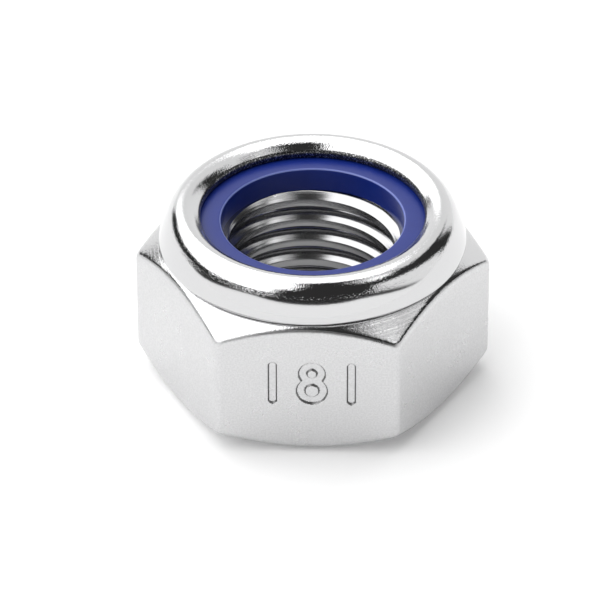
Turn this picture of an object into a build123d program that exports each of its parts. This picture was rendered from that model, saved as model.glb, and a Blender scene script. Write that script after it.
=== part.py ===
from build123d import *
import os
from math import asin, cos, degrees, radians, sin, tan

# Nylon insert lock nut, in millimetres.
# The origin is the centre of the bearing face, and +Z runs up the hole towards the insert.

# Hexagon
across_flats = 16.0
hexagon_height = 7.5  # from the bearing face to the top of a flat, at the flat's middle
corner_rounding = 0.55  # radius of the six upright corners
top_chamfer_angle = 35.0  # from the horizontal
bottom_chamfer_angle = 30.0
bearing_face_inset = 0.55  # how far the bearing face's rim lies inside a flat
chamfer_edge_rounding = 0.08  # where the chamfers meet the flats and corners

# Rolled collar: its outside is three arcs, and each angle is how far the surface there looks up, in degrees
height = 9.88  # of the whole nut, to the crown of the collar
collar_inset = 0.08  # how far the collar's widest ring lies inside a flat
tuck_slope = 56.0  # of the band that draws in below the widest ring, from the horizontal
tuck_rise = 0.5518  # from the top of a flat, at its middle, up to the widest ring
wall_radius = 6.4
wall_top_angle = 27.0
shoulder_radius = 1.4
shoulder_top_angle = 50.0
crown_radius = 0.7
lip_slope = 32.0  # of the lip as it falls inwards from the crown, from the horizontal
lip_reach = 0.87  # from the crown in to the lip's narrowest place
nose_radius = 0.32  # inner edge of the lip
lip_lean = 16.0  # how far the lip's end face looks down, in degrees
lip_depth = 0.84  # from the crown down to the lip's underside

# Nylon insert and its recess
insert_thickness = 1.3
insert_width = 1.86  # from the insert's hole out to its rim
insert_grip = 0.56  # how much smaller than the thread the insert's hole is, on the diameter
insert_clearance = 0.02  # between the insert's rim and the recess
insert_edge_chamfer = 0.12  # round the top of the insert's hole
recess_corner = 0.3  # bevel under the lip, on the recess and on the insert's rim

# Thread M10 x 1.25: the bore is at its minor diameter
thread_diameter = 10.0
thread_pitch = 1.25
thread_depth = 0.5413 * thread_pitch  # of the ISO profile's inside thread
bearing_countersink_margin = 0.2  # countersink's rim beyond the thread
countersink_slope = 30.0  # from the horizontal, so 120 degrees across

flat_distance = across_flats / 2
corner_distance = flat_distance / cos(radians(30))
bearing_face_radius = flat_distance - bearing_face_inset
bore_radius = thread_diameter / 2 - thread_depth
collar_radius = flat_distance - collar_inset
lip_underside = height - lip_depth
seat_height = lip_underside - insert_thickness
insert_hole_radius = (thread_diameter - insert_grip) / 2
insert_rim_radius = insert_hole_radius + insert_width
recess_radius = insert_rim_radius + insert_clearance


def slope(run, degrees):
    """Rise over a run at an angle from the horizontal."""
    return run * tan(radians(degrees))


def on_circle(centre, radius, degrees):
    """Point on a circle, at an angle from outwards towards up."""
    return (
        centre[0] + radius * cos(radians(degrees)),
        centre[1] + radius * sin(radians(degrees)),
    )


def hexagon_section():
    """Half section of the turned blank: bearing face, both chamfers and the insert's seat."""
    blank_radius = corner_distance + 1
    bottom_rise = slope(blank_radius - bearing_face_radius, bottom_chamfer_angle)
    top_fall = slope(blank_radius - flat_distance, top_chamfer_angle)
    inside_collar = (recess_radius + collar_radius) / 2
    top_rise = slope(flat_distance - inside_collar, top_chamfer_angle)
    outline = Polyline(
        (0, 0),
        (bearing_face_radius, 0),
        (blank_radius, bottom_rise),
        (blank_radius, hexagon_height - top_fall),
        (inside_collar, hexagon_height + top_rise),
        (inside_collar, seat_height),
        (0, seat_height),
        close=True,
    )
    return Plane.XZ * make_face(outline)


def collar_section():
    """Half section of the rolled collar, from its foot up over the crown and round the lip's nose."""
    shoulder_rise = shoulder_radius * (sin(radians(shoulder_top_angle)) - sin(radians(wall_top_angle)))
    crown_rise = crown_radius * (1 - sin(radians(shoulder_top_angle)))
    widest = (collar_radius, hexagon_height + tuck_rise)
    foot = (collar_radius - tuck_rise / tan(radians(tuck_slope)), hexagon_height)
    wall_rise = height - crown_rise - shoulder_rise - widest[1]
    wall_foot_angle = degrees(asin(sin(radians(wall_top_angle)) - wall_rise / wall_radius))

    wall_centre = on_circle(widest, -wall_radius, wall_foot_angle)
    shoulder_centre = on_circle(wall_centre, wall_radius - shoulder_radius, wall_top_angle)
    crown_centre = on_circle(shoulder_centre, shoulder_radius - crown_radius, shoulder_top_angle)
    lip_top = on_circle(crown_centre, crown_radius, 90 + lip_slope)

    nose_distance = crown_centre[0] - lip_reach + nose_radius
    nose_top_distance = nose_distance - nose_radius * sin(radians(lip_slope))
    nose_top = (nose_top_distance, lip_top[1] - slope(lip_top[0] - nose_top_distance, lip_slope))
    nose_centre = on_circle(nose_top, -nose_radius, 90 + lip_slope)
    nose_end = on_circle(nose_centre, nose_radius, 180 + lip_lean)
    lip_foot = nose_end[0] + (nose_end[1] - lip_underside) * tan(radians(lip_lean))
    outline = Curve() + [
        Line(foot, widest),
        CenterArc(wall_centre, wall_radius, wall_foot_angle, wall_top_angle - wall_foot_angle),
        CenterArc(shoulder_centre, shoulder_radius, wall_top_angle, shoulder_top_angle - wall_top_angle),
        CenterArc(crown_centre, crown_radius, shoulder_top_angle, 90 + lip_slope - shoulder_top_angle),
        Line(lip_top, nose_top),
        CenterArc(nose_centre, nose_radius, 90 + lip_slope, 90 + lip_lean - lip_slope),
        Polyline(
            nose_end,
            (lip_foot, lip_underside),
            (recess_radius - recess_corner, lip_underside),
            (recess_radius, lip_underside - recess_corner),
            (recess_radius, foot[1]),
            foot,
        ),
    ]
    return Plane.XZ * make_face(outline)


def bore_section():
    """Half section of the hole, with a countersink at the bearing face."""
    bearing_rim = thread_diameter / 2 + bearing_countersink_margin
    bearing_depth = slope(bearing_rim - bore_radius, countersink_slope)
    outline = Polyline(
        (0, 0),
        (bearing_rim, 0),
        (bore_radius, bearing_depth),
        (bore_radius, seat_height),
        (0, seat_height),
        close=True,
    )
    return Plane.XZ * make_face(outline)


def nut_body():
    """One piece of steel: a turned blank with its collar, cut to six flats."""
    section = hexagon_section() + collar_section() - bore_section()
    turned = revolve(section, Axis.Z)
    flats = RegularPolygon(flat_distance, 6, major_radius=False)
    flats = fillet(flats.vertices(), corner_rounding)
    body = turned & extrude(flats, height)
    chamfer_edges = [
        edge for edge in body.edges() if edge.geom_type not in (GeomType.LINE, GeomType.CIRCLE)
    ]
    return fillet(chamfer_edges, chamfer_edge_rounding)


def nylon_insert():
    """Plain ring that stands on the seat, with its bevelled rim under the lip."""
    outline = Polyline(
        (insert_hole_radius, seat_height),
        (insert_rim_radius, seat_height),
        (insert_rim_radius, lip_underside - recess_corner),
        (insert_rim_radius - recess_corner, lip_underside),
        (insert_hole_radius + insert_edge_chamfer, lip_underside),
        (insert_hole_radius, lip_underside - insert_edge_chamfer),
        close=True,
    )
    return revolve(Plane.XZ * make_face(outline), Axis.Z)


os.makedirs("parts", exist_ok=True)
export_step(nut_body(), "parts/nut_body.step")
export_step(nylon_insert(), "parts/nylon_insert.step")
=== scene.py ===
from math import acos, atan, atan2, cos, degrees, pi, radians, sin, tan

import bpy
import numpy as np
from mathutils import Matrix, Vector


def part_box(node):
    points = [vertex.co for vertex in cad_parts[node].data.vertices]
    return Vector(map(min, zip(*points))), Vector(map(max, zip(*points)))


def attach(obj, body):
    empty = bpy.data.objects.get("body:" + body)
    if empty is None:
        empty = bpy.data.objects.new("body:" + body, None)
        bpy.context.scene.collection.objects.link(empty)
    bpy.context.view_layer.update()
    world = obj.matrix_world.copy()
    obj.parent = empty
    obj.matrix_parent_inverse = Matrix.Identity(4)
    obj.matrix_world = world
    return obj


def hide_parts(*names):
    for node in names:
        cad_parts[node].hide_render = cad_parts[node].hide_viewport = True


# Nylon insert lock nut. Lengths below are in millimetres and angles in degrees, unless a line says
# otherwise.
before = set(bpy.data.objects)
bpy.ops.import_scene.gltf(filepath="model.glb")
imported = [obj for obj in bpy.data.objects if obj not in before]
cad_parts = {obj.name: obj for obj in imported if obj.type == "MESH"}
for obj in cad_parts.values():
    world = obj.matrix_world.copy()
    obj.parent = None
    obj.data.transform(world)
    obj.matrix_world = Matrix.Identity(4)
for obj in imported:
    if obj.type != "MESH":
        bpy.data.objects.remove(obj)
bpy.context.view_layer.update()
MM = 0.001  # metres in a millimetre

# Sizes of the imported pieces
body_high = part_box("nut_body")[1] / MM
insert_low, insert_high = (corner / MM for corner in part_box("nylon_insert"))
flat_distance = body_high.y
height = body_high.z
seat_height = insert_low.z
lip_underside = insert_high.z
insert_rim_radius = insert_high.x

# Hexagon
hexagon_height = 7.5
corner_rounding = 0.55
top_chamfer_angle = 35.0
bottom_chamfer_angle = 30.0
bearing_face_radius = flat_distance - 0.55
chamfer_edge_radius = 0.6
bearing_edge_radius = 0.25

# Rolled collar: its outside is three arcs, and each angle is how far the surface there looks up
collar_radius = flat_distance - 0.08
bead_radius = 0.25  # of the rounded foot under the collar's widest ring
crease_shade_steps = 4  # of the foot's section along the crease against the chamfer, which get painted shade
wall_radius = 6.4
wall_foot_angle = 15.2
wall_top_angle = 27.0
shoulder_radius = 1.4
shoulder_top_angle = 50.0
crown_radius = 0.7
bend_start = 24.0  # slope where the crown passes into the lip's gentler bend
bend_radius = 1.4
lip_slope = 38.0  # of the lip where it reaches its nose
lip_reach = 0.87  # from the crown in to the lip's narrowest place
nose_radius = 0.32
lip_lean = 16.0
peel_depth = 0.68  # from the crown down to where the rolled steel's grain has its full strength
peel_fade = 0.2
lip_shade_radius = 6.2  # the lip's rougher band, with painted dark reflection and shade, lies inside this radius
lip_shade_radius_fade = 0.1
lip_shade_depth = 0.42  # and this far below the crown
lip_shade_depth_fade = 0.06

# Insert and its recess
recess_radius = insert_rim_radius + 0.02
recess_corner = 0.3
insert_hole_radius = 4.72
insert_edge_radius = 0.12
insert_fall = 9.0  # slope of the insert's face at its rim; the face is level at the hole
edge_highlight_width = 0.05  # of the painted highlight along the edge round the insert's hole
edge_highlight_depth = 0.06
edge_highlight_fade = 0.04

# Thread, M10 x 1.25, right-hand
thread_radius = 5.0
thread_pitch = 1.25
thread_depth = 0.5413 * thread_pitch
crest_edge_radius = 0.04
crest_half = 0.215  # half of the flat along a crest
flank_stretches = ((0.15, 42), (0.16, 37), (0.12, 26), (0.08, 18))  # depth and slope, from the crest down
root_depth = 0.03  # of the groove's middle below its flanks
thread_phase = 0.48  # turns, which sets where a crest passes the back of the hole
bearing_rim_radius = thread_radius + 0.2
countersink_slope = 30.0

# Stamped class number on the front flat
mark_centre = (0.25, 4.3)  # across and up the flat
mark_height = 2.5
lower_bowl_share = 0.55  # of the number's height
stroke_width = 0.42
stroke_depth = 0.12
stroke_wall = 0.09  # width of the slope from the flat down to a stroke's floor
bar_distance = 2.0  # from the number's middle to each bar beside it
mark_grid = 0.036  # distance between the mesh's lines across the mark
wall_share = 0.42  # how far from half its depth a stroke still counts as wall, which gets painted shade

# Meshes
corner_step = 5  # between two columns round an upright corner
flat_columns = 25  # across a flat without the mark
left_columns = 9  # on the marked flat, to the left of the mark
right_columns = 8  # and to the right of it
collar_columns = 360
bore_columns = 240
insert_columns = 240
edge_steps = 6  # round an edge between a chamfer and a flat
edge_split = 4  # rows of that edge up to where the finish changes
merge_digits = 5  # decimals to which two points have to agree to become one
sharp_angle = 28.0  # an edge that turns more than this stays sharp

# Camera, from the photograph
camera_elevation = 34.457
camera_azimuth = 2.249
camera_distance = 254.9
camera_aim_height = 0.31
camera_right = -0.656  # how far the camera is moved to its right and up, without being turned
camera_up = 3.014
camera_roll = 0.117
photo_width = 600
focal_pixels = 4858.9
sensor_width = 36.0
nearest_seen = 10
furthest_seen = 3000

# Studio
floor_half_width = 1200
floor_glow = 0.12
dark_strength = 0.04  # of the dome where no panel lights it
seen_strength = 2.0  # added where the camera sees the dome itself, so that the background is white
skirt_level_angle = 35.0  # to each side of its middle, where the low panel starts to fall
least_towards = 0.02  # least cosine between a direction and straight onto a panel, for it to be lit
least_divisor = 0.001


def line(start, end, steps):
    """Points from start to end of a section, both included."""
    return [
        (start[0] + (end[0] - start[0]) * k / steps, start[1] + (end[1] - start[1]) * k / steps)
        for k in range(steps + 1)
    ]


def arc(centre, radius, first, last, steps):
    """Points along a circle of a section, from one angle to another."""
    angles = [radians(first + (last - first) * k / steps) for k in range(steps + 1)]
    return [(centre[0] + radius * cos(angle), centre[1] + radius * sin(angle)) for angle in angles]


def chain(*runs):
    """Runs of points joined end to end, with each shared point kept once."""
    points = []
    for run in runs:
        for point in run:
            if not points or np.hypot(point[0] - points[-1][0], point[1] - points[-1][1]) > 1e-6:
                points.append(point)
    return points


def rounded_corner(radius, rise, before, after, rounding, steps):
    """Rows that round an outline's corner, where it turns left from one direction to another.

    radius and rise are arrays, one value for each column of the mesh.
    """
    half_turn = radians(after - before) / 2
    back_off = rounding * tan(half_turn)
    centre_radius = radius - back_off * cos(radians(before)) - rounding * sin(radians(before))
    centre_rise = rise - back_off * sin(radians(before)) + rounding * cos(radians(before))
    rows = []
    for k in range(steps + 1):
        facing = radians(before - 90 + (after - before) * k / steps)
        rows.append((centre_radius + rounding * cos(facing), centre_rise + rounding * sin(facing)))
    return rows


def rows_between(start, end, steps):
    """Rows strictly between two rows."""
    return [
        tuple(a + (b - a) * k / steps for a, b in zip(start, end))
        for k in range(1, steps)
    ]


class Shell:
    """Points and faces of one closed mesh, with the name of a finish for each face."""

    def __init__(self):
        self.points = []
        self.faces = []
        self.finishes = []

    def add_ring(self, points):
        """Numbers of the new points."""
        first = len(self.points)
        self.points.extend(points)
        return list(range(first, len(self.points)))

    def add_face(self, corners, finish):
        kept = list(dict.fromkeys(corners))
        if len(kept) > 2:
            self.faces.append(kept)
            self.finishes.append(finish)

    def add_band(self, lower, upper, finish):
        """Faces between two rings with equally many points, with one finish or a finish for each face."""
        count = len(lower)
        finishes = [finish] * count if isinstance(finish, str) else finish
        for k, face_finish in enumerate(finishes):
            after = (k + 1) % count
            self.add_face((lower[k], lower[after], upper[after], upper[k]), face_finish)

    def stitch(self, lower, upper, finish):
        """Triangles between two rings whose counts differ, each ordered by azimuth."""
        def azimuths(ring):
            angles = [atan2(self.points[k][1], self.points[k][0]) for k in ring]
            start = min(range(len(ring)), key=lambda k: angles[k])
            turned = ring[start:] + ring[:start]
            angles = angles[start:] + angles[:start]
            return turned + turned[:1], angles + [angles[0] + 2 * pi]

        lower, lower_angles = azimuths(lower)
        upper, upper_angles = azimuths(upper)
        i = j = 0
        while i < len(lower) - 1 or j < len(upper) - 1:
            upper_is_next = i == len(lower) - 1
            if not upper_is_next and j < len(upper) - 1:
                upper_is_next = upper_angles[j + 1] < lower_angles[i + 1]
            if upper_is_next:
                self.add_face((lower[i], upper[j + 1], upper[j]), finish)
                j += 1
            else:
                self.add_face((lower[i], lower[i + 1], upper[j]), finish)
                i += 1


def polar(radius, azimuth, rise):
    return (radius * cos(azimuth), radius * sin(azimuth), rise)


def revolved_rings(shell, section, count):
    """Rings of a turned surface, one for each point of its section."""
    angles = [2 * pi * k / count for k in range(count)]
    return [shell.add_ring([polar(r, a, z) for a in angles]) for r, z in section]


def hexagon_azimuths(front_positions, plain_positions):
    """Azimuths of the columns round the hexagon: across each flat, and round each corner."""
    corner_centre = (flat_distance - corner_rounding) / cos(radians(30))
    azimuths = []
    for side in range(6):
        normal = 60 * side - 90
        positions = front_positions if normal == -90 else plain_positions
        azimuths += [radians(normal) + atan(position / flat_distance) for position in positions]
        for facing in range(-30 + corner_step, 30, corner_step):
            across = corner_rounding * sin(radians(facing))
            out = corner_centre + corner_rounding * cos(radians(facing))
            azimuths.append(radians(normal + 30) + atan2(across, out))
    return np.array(azimuths)


def hexagon_radius(azimuths):
    """Distance from the axis to the rounded hexagon."""
    offset = (azimuths + pi / 6) % (pi / 3) - pi / 6
    corner_centre = (flat_distance - corner_rounding) / cos(pi / 6)
    rounding_end = atan2(corner_rounding / 2, corner_centre + corner_rounding * cos(pi / 6))
    across = corner_centre * np.sin(offset)
    rounded = corner_centre * np.cos(offset) + np.sqrt(np.maximum(corner_rounding**2 - across**2, 0))
    return np.where(np.abs(offset) < rounding_end, rounded, flat_distance / np.cos(pi / 6 - np.abs(offset)))


def mark_distance(across, up):
    """Distance from the strokes of an 8 between two bars, negative inside a stroke."""
    reach = (mark_height - stroke_width) / 2
    lower_bowl = lower_bowl_share * reach
    upper_bowl = reach - lower_bowl
    lower = np.abs(np.hypot(across, up + reach - lower_bowl) - lower_bowl)
    upper = np.abs(np.hypot(across, up - reach + upper_bowl) - upper_bowl)
    bars = np.hypot(np.abs(across) - bar_distance, up - np.clip(up, -reach, reach))
    return np.minimum(np.minimum(lower, upper), bars) - stroke_width / 2


def mark_depth(across, up):
    """How deep the stamp goes at a place on the front flat."""
    inside = 0.5 - mark_distance(across - mark_centre[0], up - mark_centre[1]) / stroke_wall
    inside = np.clip(inside, 0, 1)
    return stroke_depth * inside**2 * (3 - 2 * inside)


def add_hexagon(shell):
    """Bearing face's rim, both chamfers and the six flats, up to the foot of the collar."""
    half_flat = (flat_distance - corner_rounding) * tan(radians(30))
    mark_half_width = bar_distance + stroke_width
    mark_half_height = mark_height / 2 + stroke_wall
    plain = np.linspace(-half_flat, half_flat, flat_columns)
    mark_left, mark_right = mark_centre[0] - mark_half_width, mark_centre[0] + mark_half_width
    front = np.concatenate([
        np.linspace(-half_flat, mark_left, left_columns)[:-1],
        np.linspace(mark_left, mark_right, round(2 * mark_half_width / mark_grid)),
        np.linspace(mark_right, half_flat, right_columns)[1:],
    ])
    azimuths = hexagon_azimuths(front, plain)
    reach = hexagon_radius(azimuths)
    same = np.ones_like(reach)
    bottom_rise = (reach - bearing_face_radius) * tan(radians(bottom_chamfer_angle))
    top_rise = hexagon_height - (reach - flat_distance) * tan(radians(top_chamfer_angle))
    rim_start = (bearing_face_radius * same, 0 * same)
    rim = rounded_corner(*rim_start, 0, bottom_chamfer_angle, bearing_edge_radius, steps=4)
    low_edge = rounded_corner(reach, bottom_rise, bottom_chamfer_angle, 90, chamfer_edge_radius, edge_steps)
    high_edge = rounded_corner(reach, top_rise, 90, 180 - top_chamfer_angle, chamfer_edge_radius, edge_steps)
    mark_low = (reach, same * (mark_centre[1] - mark_half_height))
    mark_high = (reach, same * (mark_centre[1] + mark_half_height))
    mark_rows = round(2 * mark_half_height / mark_grid)
    foot = tuple(value * same for value in bead_section()[0])
    groups = [
        ("turned", rim + rows_between(rim[-1], low_edge[0], steps=4) + low_edge[:edge_split]),
        ("flat", low_edge[edge_split:] + rows_between(low_edge[-1], mark_low, steps=6) + [mark_low]),
        ("flat", rows_between(mark_low, mark_high, mark_rows) + [mark_high]),
        ("flat", rows_between(mark_high, high_edge[0], steps=6) + high_edge[:edge_split]),
        ("turned", high_edge[edge_split:] + rows_between(high_edge[-1], foot, steps=7)),
    ]
    rings = []
    for finish, rows in groups:
        for radius, rise in rows:
            x, y = radius * np.cos(azimuths), radius * np.sin(azimuths)
            on_front = (y < 0) & (np.abs(x) < half_flat)
            depth = np.where(on_front, mark_depth(x, rise), 0)
            rings.append((finish, depth, shell.add_ring(list(zip(x, y + depth, rise)))))
    for (finish, low_depth, lower), (_, high_depth, upper) in zip(rings, rings[1:]):
        middle_depth = (low_depth + np.roll(low_depth, -1) + high_depth + np.roll(high_depth, -1)) / 4
        # Faces on a stroke's wall take the mark finish, which is painted shade
        on_wall = np.abs(middle_depth / stroke_depth - 0.5) < wall_share
        shell.add_band(lower, upper, ["mark" if wall else finish for wall in on_wall])
    return rings[0][2], rings[-1][2]


def on_circle(centre, radius, degrees_up):
    """Point on a circle, at an angle from outwards towards up."""
    return (centre[0] + radius * cos(radians(degrees_up)), centre[1] + radius * sin(radians(degrees_up)))


def widest_place():
    """Widest ring of the collar, worked out from its arcs and its height."""
    wall_rise = wall_radius * (sin(radians(wall_top_angle)) - sin(radians(wall_foot_angle)))
    shoulder_rise = shoulder_radius * (sin(radians(shoulder_top_angle)) - sin(radians(wall_top_angle)))
    crown_rise = crown_radius * (1 - sin(radians(shoulder_top_angle)))
    return collar_radius, height - wall_rise - shoulder_rise - crown_rise


def bead_section():
    """Rounded foot of the collar, from the chamfer up to where the wall starts."""
    centre = on_circle(widest_place(), -bead_radius, wall_foot_angle)
    chamfer_rise = hexagon_height + (flat_distance - centre[0]) * tan(radians(top_chamfer_angle))
    chamfer_gap = (centre[1] - chamfer_rise) * cos(radians(top_chamfer_angle))
    start = -90 - top_chamfer_angle + degrees(acos(chamfer_gap / bead_radius))
    return arc(centre, bead_radius, start, wall_foot_angle, steps=14)


def collar_section():
    """Collar from its foot up over the crown, round the lip's nose and down the recess to the seat."""
    wall_centre = on_circle(widest_place(), -wall_radius, wall_foot_angle)
    shoulder_centre = on_circle(wall_centre, wall_radius - shoulder_radius, wall_top_angle)
    crown_centre = on_circle(shoulder_centre, shoulder_radius - crown_radius, shoulder_top_angle)
    bend_centre = on_circle(crown_centre, crown_radius - bend_radius, 90 + bend_start)
    lip_top = on_circle(bend_centre, bend_radius, 90 + lip_slope)
    nose_top_distance = crown_centre[0] - lip_reach + nose_radius * (1 - sin(radians(lip_slope)))
    nose_fall = (lip_top[0] - nose_top_distance) * tan(radians(lip_slope))
    nose_centre = on_circle((nose_top_distance, lip_top[1] - nose_fall), -nose_radius, 90 + lip_slope)
    nose = arc(nose_centre, nose_radius, 90 + lip_slope, 180 + lip_lean, steps=16)
    lip_foot = nose[-1][0] + (nose[-1][1] - lip_underside) * tan(radians(lip_lean))
    outside = chain(
        bead_section(),
        arc(wall_centre, wall_radius, wall_foot_angle, wall_top_angle, steps=8),
        arc(shoulder_centre, shoulder_radius, wall_top_angle, shoulder_top_angle, steps=10),
        arc(crown_centre, crown_radius, shoulder_top_angle, 90 + bend_start, steps=18),
        arc(bend_centre, bend_radius, 90 + bend_start, 90 + lip_slope, steps=8),
        line(lip_top, nose[0], steps=3),
        nose,
        line(nose[-1], (lip_foot, lip_underside), steps=3),
    )
    recess_top = (recess_radius - recess_corner, lip_underside)
    recess_side = (recess_radius, lip_underside - recess_corner)
    inside = chain(
        line(outside[-1], recess_top, steps=2),
        line(recess_top, recess_side, steps=1),
        line(recess_side, (recess_radius, seat_height), steps=2),
    )
    return outside, inside


def add_collar(shell, foot_ring):
    """Rolled collar and the recess inside it."""
    outside, inside = collar_section()
    rings = revolved_rings(shell, outside + inside[1:], collar_columns)
    shell.stitch(foot_ring, rings[0], "turned")
    for k, (lower, upper) in enumerate(zip(rings, rings[1:])):
        # The foot's first bands take the crease finish, which is painted shade
        finish = "crease" if k < crease_shade_steps else "collar" if k < len(outside) else "thread"
        shell.add_band(lower, upper, finish)
    return rings[-1]


def thread_section():
    """One pitch of the inside thread, as heights along the axis and distances from it.

    Each crest has a small rounded edge, and the flanks bulge a little below it.
    """
    crest_radius = thread_radius - thread_depth
    edge = [
        (crest_half - 1.2 * crest_edge_radius, crest_radius),
        (crest_half - 0.3 * crest_edge_radius, crest_radius + 0.2 * crest_edge_radius),
        (crest_half + 0.4 * crest_edge_radius, crest_radius + 1.0 * crest_edge_radius),
    ]
    flank = [edge[-1]]
    for depth, slope in flank_stretches:
        flank.append((flank[-1][0] + depth * tan(radians(slope)), flank[-1][1] + depth))
    rising = [(0, crest_radius)] + edge + flank[1:]
    falling = [(thread_pitch - rise, radius) for rise, radius in reversed(rising[1:])]
    root = (thread_pitch / 2, rising[-1][1] + root_depth)
    return rising + [root] + falling


def add_bore(shell):
    """Tapped hole whose rows follow the helix, with a countersink at the bearing face."""
    count = bore_columns
    profile = thread_section()
    rows_per_turn = len(profile)
    rows = [
        thread_pitch * (turn - 1 + thread_phase) + rise
        for turn in range(-1, int(seat_height / thread_pitch) + 3)
        for rise, _ in profile
    ]
    azimuths = [2 * pi * k / count for k in range(count)]

    def bore_point(azimuth, rise):
        place = (rise - thread_pitch * (azimuth / (2 * pi) + thread_phase)) % thread_pitch
        radius = np.interp(place, *zip(*profile), period=thread_pitch)
        countersink = bearing_rim_radius - rise / tan(radians(countersink_slope))
        return polar(max(radius, countersink), azimuth, rise)

    table = []
    for start in rows:
        heights = [start + thread_pitch * k / count for k in range(count)]
        ring = [bore_point(a, min(max(h, 0), seat_height)) for a, h in zip(azimuths, heights)]
        table.append(shell.add_ring(ring))
    for low, high in zip(table, table[1:]):
        for k in range(count - 1):
            shell.add_face((high[k], high[k + 1], low[k + 1], low[k]), "thread")
    for k in range(len(table) - rows_per_turn - 1):
        turned_low, turned_high = table[k + rows_per_turn], table[k + rows_per_turn + 1]
        shell.add_face((table[k + 1][-1], turned_high[0], turned_low[0], table[k][-1]), "thread")
    bottom = shell.add_ring([bore_point(azimuth, 0) for azimuth in azimuths])
    top = shell.add_ring([bore_point(azimuth, seat_height) for azimuth in azimuths])
    return bottom, top


def make_piece(name, shell, finishes, replaced):
    """Blender object from a shell: repeated points merged, creases kept sharp, flat faces kept flat."""
    places = np.round(np.array(shell.points), merge_digits)
    unique, merged = np.unique(places, axis=0, return_inverse=True)
    merged = merged.reshape(-1)
    faces, numbers = [], []
    order = list(finishes)
    for face, finish in zip(shell.faces, shell.finishes):
        corners = list(dict.fromkeys(int(merged[k]) for k in face))
        if len(corners) > 2:
            faces.append(corners)
            numbers.append(order.index(finish))
    mesh = bpy.data.meshes.new(name)
    mesh.from_pydata((unique * MM).tolist(), [], faces, shade_flat=False)
    mesh.polygons.foreach_set("material_index", numbers)
    for finish in order:
        mesh.materials.append(finishes[finish])
    mesh.validate()
    mesh.set_sharp_from_angle(angle=radians(sharp_angle))
    piece = bpy.data.objects.new(name, mesh)
    bpy.context.scene.collection.objects.link(piece)
    weighted = piece.modifiers.new("flat_faces_stay_flat", "WEIGHTED_NORMAL")
    weighted.keep_sharp = True
    weighted.weight = 100
    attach(piece, "root")
    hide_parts(replaced)
    return piece


def make_nut_body(finishes):
    shell = Shell()
    rim_ring, foot_ring = add_hexagon(shell)
    seat_ring = add_collar(shell, foot_ring)
    bottom_ring, top_ring = add_bore(shell)
    shell.stitch(bottom_ring, rim_ring, "turned")
    shell.stitch(seat_ring, top_ring, "thread")
    return make_piece("lock_nut_body", shell, finishes, "nut_body")


def make_insert(finish):
    """Nylon ring whose visible face falls away a little towards the rim."""
    shell = Shell()
    edge_centre = (insert_hole_radius + insert_edge_radius, lip_underside - insert_edge_radius)
    face_width = insert_rim_radius - recess_corner - edge_centre[0]
    face_radius = face_width / sin(radians(insert_fall))
    face_centre = (edge_centre[0], lip_underside - face_radius)
    face = arc(face_centre, face_radius, 90 - insert_fall, 90, steps=12)
    hole_foot = (insert_hole_radius, seat_height)
    rim_foot = (insert_rim_radius, seat_height)
    rim_top = (insert_rim_radius, lip_underside - recess_corner)
    section = chain(
        line(hole_foot, rim_foot, steps=2),
        line(rim_foot, rim_top, steps=2),
        line(rim_top, face[0], steps=1),
        face,
        arc(edge_centre, insert_edge_radius, 90, 180, steps=8),
        line((insert_hole_radius, edge_centre[1]), hole_foot, steps=4),
    )
    rings = revolved_rings(shell, section[:-1], insert_columns)
    for lower, upper in zip(rings, rings[1:] + rings[:1]):
        shell.add_band(lower, upper, "nylon")
    return make_piece("nylon_ring", shell, {"nylon": finish}, "nylon_insert")


class Nodes:
    """Short ways to add shader nodes to one tree."""

    def __init__(self, tree):
        self.tree = tree

    def add(self, kind, inputs=None, **settings):
        node = self.tree.nodes.new(kind)
        for name, value in settings.items():
            setattr(node, name, value)
        for name, value in (inputs or {}).items():
            if isinstance(value, bpy.types.NodeSocket):
                self.tree.links.new(value, node.inputs[name])
            else:
                node.inputs[name].default_value = value
        return node

    def math(self, operation, *values):
        inputs = dict(enumerate(values))
        return self.add("ShaderNodeMath", inputs, operation=operation).outputs[0]

    def dot(self, a, b):
        return self.add("ShaderNodeVectorMath", {0: a, 1: b}, operation="DOT_PRODUCT").outputs["Value"]

    def stretch(self, vector, scale):
        return self.add("ShaderNodeVectorMath", {0: vector, 1: scale}, operation="MULTIPLY").outputs[0]

    def noise(self, vector, scale, detail=2.0, roughness=0.5):
        inputs = {"Vector": vector, "Scale": scale, "Detail": detail, "Roughness": roughness}
        return self.add("ShaderNodeTexNoise", inputs).outputs["Fac"]

    def step(self, value, low, high, result_low=0.0, result_high=1.0):
        """Smooth change of one value over a range of another."""
        inputs = {"Value": value, 1: low, 2: high, 3: result_low, 4: result_high}
        return self.add("ShaderNodeMapRange", inputs, interpolation_type="SMOOTHSTEP").outputs["Result"]

    def blend(self, share, colour, other):
        """One colour passing into another."""
        inputs = {0: share, 6: colour, 7: other}
        return self.add("ShaderNodeMix", inputs, data_type="RGBA").outputs[2]

    def rings(self, radius, scale, detail):
        """Noise that only changes with the distance from the axis, like marks left by turning."""
        inputs = {"W": radius, "Scale": scale, "Detail": detail}
        return self.add("ShaderNodeTexNoise", inputs, noise_dimensions="1D").outputs["Fac"]

    def bump(self, height_value, distance, normal=None):
        """Surface relief, whose distance is in metres."""
        inputs = {"Height": height_value, "Distance": distance, "Strength": 1.0}
        if normal is not None:
            inputs["Normal"] = normal
        return self.add("ShaderNodeBump", inputs).outputs["Normal"]

    def place(self):
        return self.add("ShaderNodeTexCoord").outputs["Object"]

    def round_place(self):
        """Distance from the axis, and the three coordinates, in metres."""
        parts = self.add("ShaderNodeSeparateXYZ", {0: self.place()}).outputs
        squares = [self.math("MULTIPLY", part, part) for part in (parts[0], parts[1])]
        return self.math("SQRT", self.math("ADD", *squares)), parts


def new_material(name):
    material = bpy.data.materials.new(name)
    material.use_nodes = True
    nodes = Nodes(material.node_tree)
    shader = material.node_tree.nodes["Principled BSDF"]
    return material, nodes, shader


def link(nodes, value, socket):
    nodes.tree.links.new(value, socket)


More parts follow.
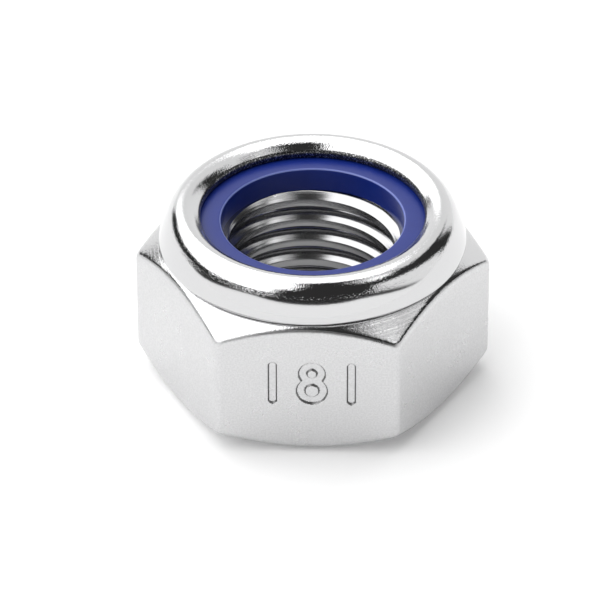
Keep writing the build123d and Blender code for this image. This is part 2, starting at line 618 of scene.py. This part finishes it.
# Colours of the finishes, as linear red, green and blue
STEEL_GREY = (0.6, 0.6, 0.605, 1)
SATIN_DARK = (0.56, 0.56, 0.565, 1)
SATIN_LIGHT = (0.64, 0.64, 0.645, 1)
# painted dark reflection and shade along the lip
LIP_SHADE_GREY = (0.07, 0.07, 0.07, 1)
# painted shade in the crease under the collar
CREASE_SHADE_GREY = (0.06, 0.06, 0.06, 1)
# painted shade on the walls of the stamped strokes
STAMP_SHADE_GREY = (0.2, 0.2, 0.2, 1)
THREAD_GREY = (0.45, 0.45, 0.455, 1)
NYLON_DARK = (0.003, 0.014, 0.16, 1)
NYLON_LIGHT = (0.006, 0.024, 0.21, 1)
# painted highlight along the edge of the insert's hole
NYLON_EDGE_HIGHLIGHT = (0.16, 0.2, 0.5, 1)
FLOOR_WHITE = (0.84, 0.84, 0.84, 1)


def flat_steel():
    """Satin flats with a fine grain, faint clouds and a few small pits."""
    material, nodes, shader = new_material("steel_satin")
    place = nodes.place()
    grain = nodes.noise(place, scale=11000, detail=2, roughness=0.6)
    clouds = nodes.noise(place, scale=700, detail=3, roughness=0.6)
    pits = nodes.step(nodes.noise(place, scale=1800, detail=2), 0.66, 0.74)
    tone = nodes.blend(nodes.step(grain, 0.3, 0.7), SATIN_DARK, SATIN_LIGHT)
    link(nodes, tone, shader.inputs["Base Color"])
    shader.inputs["Metallic"].default_value = 1
    link(nodes, nodes.step(clouds, 0.2, 0.8, 0.26, 0.34), shader.inputs["Roughness"])
    normal = nodes.bump(grain, 3e-6)
    normal = nodes.bump(clouds, 4e-6, normal)
    normal = nodes.bump(nodes.math("SUBTRACT", 1.0, pits), 4e-6, normal)
    link(nodes, normal, shader.inputs["Normal"])
    return material


def collar_steel():
    """Bright steel: smooth on the wall, finely peeled above it, and rougher along the lip, where dark
    speckles are painted dark reflection and shade.
    """
    material, nodes, shader = new_material("steel_polished")
    radius, (_, _, rise) = nodes.round_place()
    peel_height = height - peel_depth
    peeled = nodes.step(rise, (peel_height - peel_fade) * MM, peel_height * MM)
    inside = nodes.step(radius, (lip_shade_radius + lip_shade_radius_fade) * MM, lip_shade_radius * MM)
    lip_shade_height = height - lip_shade_depth
    below = nodes.step(rise, (lip_shade_height + lip_shade_depth_fade) * MM, lip_shade_height * MM)
    lip_shade = nodes.math("MULTIPLY", inside, below)
    grain = nodes.noise(nodes.place(), scale=12500, detail=1)
    # Dark speckles along the lip: painted dark reflection and shade
    lip_shade_speckle = nodes.math("MULTIPLY", lip_shade, nodes.step(grain, 0.75, 0.5))
    link(nodes, nodes.blend(lip_shade_speckle, STEEL_GREY, LIP_SHADE_GREY), shader.inputs["Base Color"])
    shader.inputs["Metallic"].default_value = 1
    link(nodes, nodes.step(lip_shade, 0, 1, 0.07, 0.3), shader.inputs["Roughness"])
    normal = nodes.bump(grain, nodes.step(peeled, 0, 1, 4e-7, 7e-6))
    link(nodes, normal, shader.inputs["Normal"])
    return material


def crease_shade_steel():
    """Painted shade: a dull dark line where the collar's foot meets the chamfer."""
    material, _, shader = new_material("steel_crease_shade")
    shader.inputs["Base Color"].default_value = CREASE_SHADE_GREY
    shader.inputs["Metallic"].default_value = 1
    shader.inputs["Roughness"].default_value = 0.4
    return material


def stamp_shade_steel():
    """Painted shade on the walls of the stamped strokes."""
    material, _, shader = new_material("steel_stamp_shade")
    shader.inputs["Base Color"].default_value = STAMP_SHADE_GREY
    shader.inputs["Metallic"].default_value = 1
    shader.inputs["Roughness"].default_value = 0.35
    return material


def turned_steel():
    """Chamfers and bearing face, with rings left by the tool."""
    material, nodes, shader = new_material("steel_turned")
    radius, _ = nodes.round_place()
    shader.inputs["Base Color"].default_value = STEEL_GREY
    shader.inputs["Metallic"].default_value = 1
    shader.inputs["Roughness"].default_value = 0.1
    normal = nodes.bump(nodes.rings(radius, scale=7000, detail=3), 1.1e-5)
    grain = nodes.noise(nodes.place(), scale=8000, detail=3, roughness=0.65)
    normal = nodes.bump(grain, 9e-6, normal)
    link(nodes, normal, shader.inputs["Normal"])
    return material


def thread_steel():
    """Cut thread, with streaks along its helix."""
    material, nodes, shader = new_material("steel_thread")
    shader.inputs["Base Color"].default_value = THREAD_GREY
    shader.inputs["Metallic"].default_value = 1
    shader.inputs["Roughness"].default_value = 0.18
    radius, _ = nodes.round_place()
    normal = nodes.bump(nodes.rings(radius, scale=12000, detail=2), 5e-6)
    streaks = nodes.noise(nodes.stretch(nodes.place(), (0.4, 0.4, 1.0)), scale=5000, detail=2)
    normal = nodes.bump(streaks, 2e-6, normal)
    link(nodes, normal, shader.inputs["Normal"])
    return material


def blue_nylon():
    """Smooth blue nylon with a soft sheen, and a painted highlight along the edge of its hole."""
    material, nodes, shader = new_material("nylon_blue")
    place = nodes.place()
    radius, (_, _, rise) = nodes.round_place()
    clouds = nodes.noise(place, scale=600, detail=3, roughness=0.6)
    edge_radius = insert_hole_radius + edge_highlight_width
    edge_height = lip_underside - edge_highlight_depth
    near_hole = nodes.step(radius, (edge_radius + edge_highlight_fade) * MM, edge_radius * MM)
    near_face = nodes.step(rise, (edge_height - edge_highlight_fade) * MM, edge_height * MM)
    # Painted highlight along the edge of the hole
    edge_highlight = nodes.math("MULTIPLY", near_hole, near_face)
    tone = nodes.blend(edge_highlight, nodes.blend(clouds, NYLON_DARK, NYLON_LIGHT), NYLON_EDGE_HIGHLIGHT)
    link(nodes, tone, shader.inputs["Base Color"])
    shader.inputs["Roughness"].default_value = 0.34
    shader.inputs["IOR"].default_value = 1.41
    normal = nodes.bump(nodes.noise(place, scale=4000, detail=3, roughness=0.6), 2e-6)
    link(nodes, normal, shader.inputs["Normal"])
    return material


def compass(azimuth, elevation):
    """Direction to a place on the studio's dome: azimuth 0 is +X, and -90 is the camera's side."""
    a, e = radians(azimuth), radians(elevation)
    return Vector((cos(a) * cos(e), sin(a) * cos(e), sin(e)))


class Dome:
    """The studio's dome of light. A panel lights the directions in its mask, where it is the brightest."""

    def __init__(self, nodes):
        self.nodes = nodes
        self.direction = nodes.add("ShaderNodeTexCoord").outputs["Generated"]
        self.light = dark_strength

    def along(self, axis):
        return self.nodes.dot(self.direction, axis)

    def shine(self, mask, strength):
        panel = self.nodes.math("MULTIPLY", mask, strength)
        self.light = self.nodes.math("MAXIMUM", self.light, panel)

    def wall(self, strength, azimuth, elevation, half_width, half_height, edge, fall=0):
        """Panel that faces the nut, in tangents. It falls towards its end with the higher azimuth."""
        nodes = self.nodes
        centre, level = compass(azimuth, elevation), compass(azimuth + 90, 0)
        across = level * cos(radians(fall)) - centre.cross(level) * sin(radians(fall))
        upward = centre.cross(across)
        towards = self.along(centre)
        mask = nodes.math("GREATER_THAN", towards, least_towards)
        for axis, half in ((across, half_width), (upward, half_height)):
            offset = nodes.math("ABSOLUTE", nodes.math("DIVIDE", self.along(axis), towards))
            mask = nodes.math("MULTIPLY", mask, nodes.step(offset, half + edge, half - edge))
        self.shine(mask, strength)

    def skirt(self, strength, azimuth, half_angle, top, edge):
        """Low panel that curves round the nut, from the floor to an elevation that falls at its ends."""
        nodes = self.nodes
        towards, across = (self.along(compass(azimuth + turn, 0)) for turn in (0, 90))
        turned = nodes.math("ABSOLUTE", nodes.math("ARCTAN2", across, towards))
        limit = nodes.step(turned, radians(skirt_level_angle), radians(half_angle), sin(radians(top)), 0)
        above = nodes.math("SUBTRACT", self.along(Vector((0, 0, 1))), limit)
        self.shine(nodes.step(above, edge, -edge), strength)

    def ceiling(self, strength, left, right, front, back, turn, edge):
        """Level panel overhead. Its sides are given as distances, with the ceiling's height as 1."""
        nodes = self.nodes
        towards = nodes.math("MAXIMUM", self.along(Vector((0, 0, 1))), least_divisor)
        mask = nodes.math("GREATER_THAN", towards, least_towards)
        for axis, low, high in ((compass(turn, 0), left, right), (compass(turn + 90, 0), front, back)):
            offset = nodes.math("DIVIDE", self.along(axis), towards)
            mask = nodes.math("MULTIPLY", mask, nodes.step(offset, low - edge, low + edge))
            mask = nodes.math("MULTIPLY", mask, nodes.step(offset, high + edge, high - edge))
        self.shine(mask, strength)


def light_studio():
    """Softboxes overhead and to the left, a pale ceiling and backdrop behind the nut, a low skirt in front
    of it, small panels at the right, and darkness between them."""
    world = bpy.data.worlds.new("studio")
    bpy.context.scene.world = world
    world.use_nodes = True
    nodes = Nodes(world.node_tree)
    dome = Dome(nodes)
    dome.ceiling(2.4, left=-1.1, right=0.54, front=-0.1, back=0.6, turn=14, edge=0.035)
    dome.wall(2.4, azimuth=168, elevation=55, half_width=1.25, half_height=0.62, edge=0.1)
    dome.ceiling(2.4, left=-2.6, right=-0.34, front=-0.52, back=0.9, turn=25, edge=0.08)
    dome.ceiling(2.4, left=-3.3, right=-0.08, front=-2.9, back=0.9, turn=-26, edge=0.12)
    dome.ceiling(1.05, left=-1.6, right=1.1, front=-0.1, back=2.2, turn=8, edge=0.06)
    dome.wall(1.1, azimuth=85, elevation=13, half_width=0.9, half_height=0.36, edge=0.06)
    dome.skirt(1.3, azimuth=-92, half_angle=94, top=11.6, edge=0.01)
    dome.wall(1.15, azimuth=-9, elevation=12.4, half_width=0.6, half_height=0.176, edge=0.03, fall=22)
    dome.ceiling(0.9, left=0.38, right=0.65, front=-0.45, back=0.05, turn=0, edge=0.08)
    dome.ceiling(1.8, left=0.6, right=0.95, front=-0.5, back=-0.1, turn=0, edge=0.08)
    seen = nodes.math("MULTIPLY", nodes.add("ShaderNodeLightPath").outputs["Is Camera Ray"], seen_strength)
    background = world.node_tree.nodes["Background"]
    link(nodes, nodes.math("ADD", dome.light, seen), background.inputs["Strength"])
    background.inputs["Color"].default_value = (1, 1, 1, 1)


def make_floor():
    """Plain pale floor, larger than any view of it."""
    half = floor_half_width * MM
    mesh = bpy.data.meshes.new("floor")
    corners = [(-half, -half, 0), (half, -half, 0), (half, half, 0), (-half, half, 0)]
    mesh.from_pydata(corners, [], [(0, 1, 2, 3)])
    floor = bpy.data.objects.new("floor", mesh)
    bpy.context.scene.collection.objects.link(floor)
    material, _, shader = new_material("floor_white")
    shader.inputs["Base Color"].default_value = FLOOR_WHITE
    shader.inputs["Roughness"].default_value = 0.9
    shader.inputs["Emission Color"].default_value = (1, 1, 1, 1)
    shader.inputs["Emission Strength"].default_value = floor_glow
    mesh.materials.append(material)


def make_camera():
    """Camera where the photograph was taken from."""
    a, e = radians(camera_azimuth), radians(camera_elevation)
    back = Vector((sin(a) * cos(e), -cos(a) * cos(e), sin(e)))
    right = Vector((cos(a), sin(a), 0))
    up = back.cross(right)
    target = Vector((0, 0, camera_aim_height))
    place = target + back * camera_distance + right * camera_right + up * camera_up
    turn = radians(camera_roll)
    rolled_right = right * cos(turn) - up * sin(turn)
    rolled_up = right * sin(turn) + up * cos(turn)
    data = bpy.data.cameras.new("photo_camera")
    data.sensor_width = sensor_width
    data.lens = focal_pixels / photo_width * sensor_width
    data.clip_start, data.clip_end = nearest_seen * MM, furthest_seen * MM
    camera = bpy.data.objects.new("photo_camera", data)
    camera.matrix_world = Matrix((
        (*(axis[0] for axis in (rolled_right, rolled_up, back)), place[0] * MM),
        (*(axis[1] for axis in (rolled_right, rolled_up, back)), place[1] * MM),
        (*(axis[2] for axis in (rolled_right, rolled_up, back)), place[2] * MM),
        (0, 0, 0, 1),
    ))
    bpy.context.scene.collection.objects.link(camera)
    bpy.context.scene.camera = camera


steel_finishes = {
    "flat": flat_steel(),
    "turned": turned_steel(),
    "collar": collar_steel(),
    "crease": crease_shade_steel(),
    "mark": stamp_shade_steel(),
    "thread": thread_steel(),
}
make_nut_body(steel_finishes)
make_insert(blue_nylon())
make_floor()
light_studio()
make_camera()
bpy.context.scene.view_settings.view_transform = "Standard"
